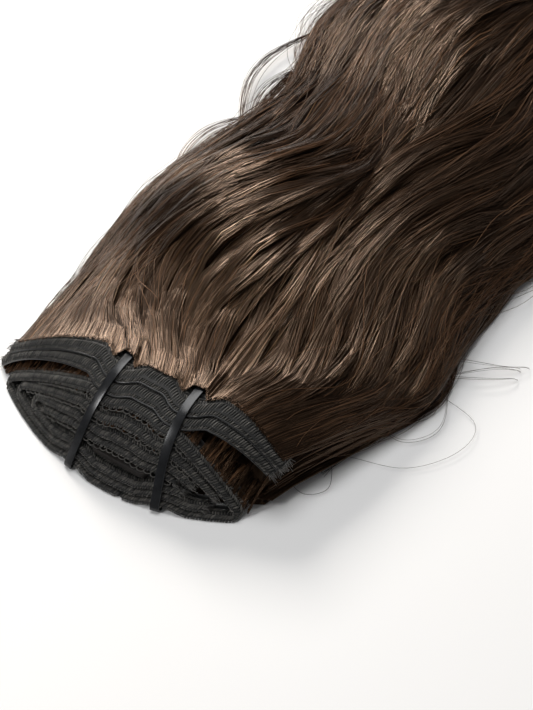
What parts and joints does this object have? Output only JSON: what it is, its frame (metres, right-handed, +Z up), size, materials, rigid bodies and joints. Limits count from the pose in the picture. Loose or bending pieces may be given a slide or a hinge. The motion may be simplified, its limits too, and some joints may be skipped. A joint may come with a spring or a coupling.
{
  "type": "clip-in hair extension bundle",
  "caption": "Bundle of dark brown wavy clip-in hair, its stitched weft bands folded and stacked and bound by two flat black straps",
  "frame": {"origin": "on the surface that the bundle rests on, under its bound end, behind the middle of the lowest band", "axes": "+X along the stitched bands, +Y the way the hair runs, away from the bound end, +Z up"},
  "size_m": [0.1786, 0.4197, 0.0398],
  "materials": {
    "weft_thread": "matte black-brown sewing thread in close diagonal stitches",
    "hair": "dark brown human hair with a warm sheen",
    "strap": "glossy black flat plastic strap",
    "clip": "dark brown enamel on a pressed steel snap clip"
  },
  "bodies": {
    "root": {"weft_top": "weft_thread", "weft_second": "weft_thread", "weft_outer_fold": "weft_thread", "weft_middle_fold": "weft_thread", "weft_inner_fold": "weft_thread", "weft_core": "weft_thread", "hair_bottom": "hair", "hair_middle": "hair", "hair_top": "hair", "tie_left": "strap", "tie_right": "strap", "snap_clip": "clip"}
  },
  "joints": []
}
